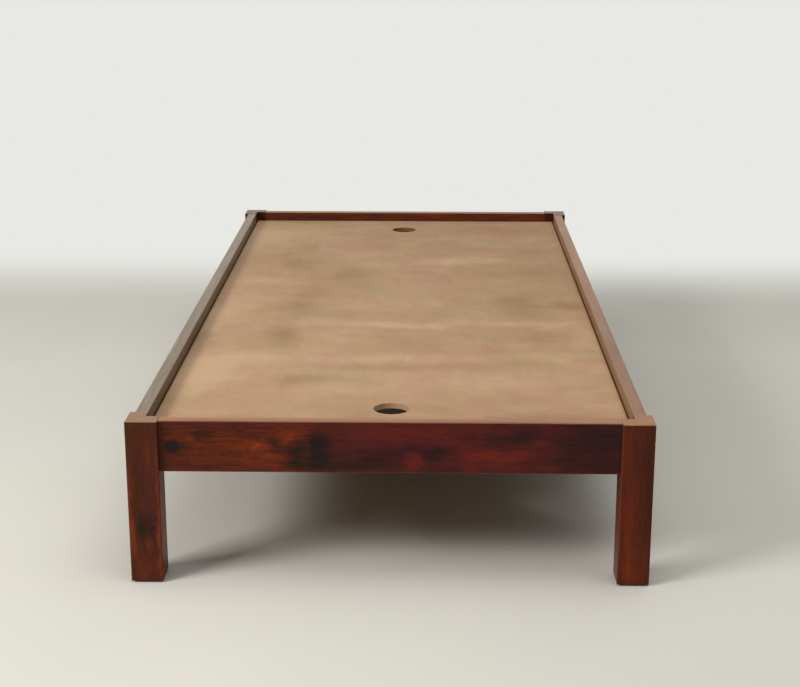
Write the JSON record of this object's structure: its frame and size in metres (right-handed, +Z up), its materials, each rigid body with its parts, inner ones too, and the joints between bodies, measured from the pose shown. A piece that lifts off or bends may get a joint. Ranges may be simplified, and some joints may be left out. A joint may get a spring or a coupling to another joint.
{
  "type": "bed frame",
  "caption": "Low wooden platform bed frame: square legs, rails set back from their faces, and a loose deck panel sunk inside the rails, with hand holes to lift it out.",
  "frame": {"origin": "middle of the footprint, on the floor", "axes": "+X to the right across the bed, seen from its front end; +Y along the bed, from the front end to the rear end; +Z up"},
  "size_m": [0.984, 2.05, 0.323],
  "materials": {
    "stained_wood": "dark red-brown stain under a semi-gloss clear coat",
    "plain_wood": "planed, unstained",
    "deck_board": "smooth matte tan board",
    "zinc_steel": "zinc-plated",
    "nylon": "moulded, dark brown"
  },
  "bodies": {
    "frame": {"leg_front_left": "stained_wood", "leg_front_right": "stained_wood", "leg_rear_left": "stained_wood", "leg_rear_right": "stained_wood", "side_rail_left": "stained_wood", "side_rail_right": "stained_wood", "end_rail_front": "stained_wood", "end_rail_rear": "stained_wood", "side_ledger_left": "plain_wood", "side_ledger_right": "plain_wood", "end_ledger_front": "plain_wood", "end_ledger_rear": "plain_wood", "cross_slat_1": "plain_wood", "cross_slat_2": "plain_wood", "cross_slat_3": "plain_wood", "cross_slat_4": "plain_wood", "cross_slat_5": "plain_wood", "leg_plate_front_left": "zinc_steel", "leg_plate_front_right": "zinc_steel", "leg_plate_rear_left": "zinc_steel", "leg_plate_rear_right": "zinc_steel", "hook_plate_front_left": "zinc_steel", "hook_plate_front_right": "zinc_steel", "hook_plate_rear_left": "zinc_steel", "hook_plate_rear_right": "zinc_steel", "leg_plate_screws": "zinc_steel", "hook_plate_screws": "zinc_steel", "ledger_screws": "zinc_steel", "slat_screws": "zinc_steel", "glide_front_left": "nylon", "glide_front_right": "nylon", "glide_rear_left": "nylon", "glide_rear_right": "nylon", "glide_nails": "zinc_steel"},
    "deck": {"deck_panel": "deck_board"}
  },
  "joints": [
    {"name": "deck_lift", "type": "slide", "parent": "frame", "child": "deck", "axis": [0, 0, 1], "range_m": [0, 0.2]}
  ]
}
